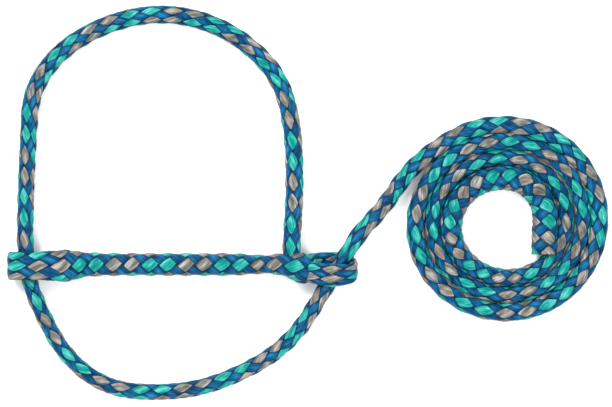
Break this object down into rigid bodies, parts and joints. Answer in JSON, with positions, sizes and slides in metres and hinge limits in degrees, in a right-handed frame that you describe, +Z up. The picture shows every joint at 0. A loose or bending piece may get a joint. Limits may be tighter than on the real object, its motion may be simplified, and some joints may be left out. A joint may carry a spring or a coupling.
{
  "type": "rope halter",
  "caption": "Braided rope halter laid flat, with noseband, crown loop, chin rope running through a keeper loop, and a coiled lead with a back-spliced end.",
  "frame": {"origin": "on the surface it lies on, under the middle of the halter without its lead", "axes": "+Z up from that surface, +Y from the chin rope towards the crown, +X along the noseband towards the keeper and lead"},
  "size_m": [0.36, 0.2362, 0.0202],
  "materials": {
    "rope_braid": "braided multifilament polypropylene, soft gloss",
    "buried_rope": "braided multifilament polypropylene, squeezed inside the outer braid"
  },
  "bodies": {
    "noseband": {"noseband_sleeve": "rope_braid", "buried_tail": "buried_rope", "left_eye": "rope_braid", "eye_splice": "rope_braid", "eye_pass": "rope_braid", "keeper_loop": "rope_braid", "keeper_lock": "rope_braid", "chin_rope": "rope_braid"},
    "crown": {"left_cheek": "rope_braid", "crown_piece": "rope_braid", "right_cheek": "rope_braid"},
    "lead_hitch": {"keeper_pass": "rope_braid"},
    "lead": {"lead_run": "rope_braid", "lead_coil": "rope_braid", "back_splice": "rope_braid", "back_splice_core": "buried_rope"}
  },
  "joints": [
    {"name": "crown_fold", "type": "hinge", "parent": "noseband", "child": "crown", "pos_m": [0, -0.0235, 0.0101], "axis": [1, 0, 0], "range_deg": [0, 90]},
    {"name": "lead_pull", "type": "slide", "parent": "noseband", "child": "lead_hitch", "axis": [0.5264, 0.8503, 0], "range_m": [0, 0.03], "deforming": ["chin_rope"]},
    {"name": "lead_swing", "type": "hinge", "parent": "lead_hitch", "child": "lead", "pos_m": [0.106, -0.018, 0.0101], "axis": [0, 0, 1], "range_deg": [-50, 45]}
  ]
}
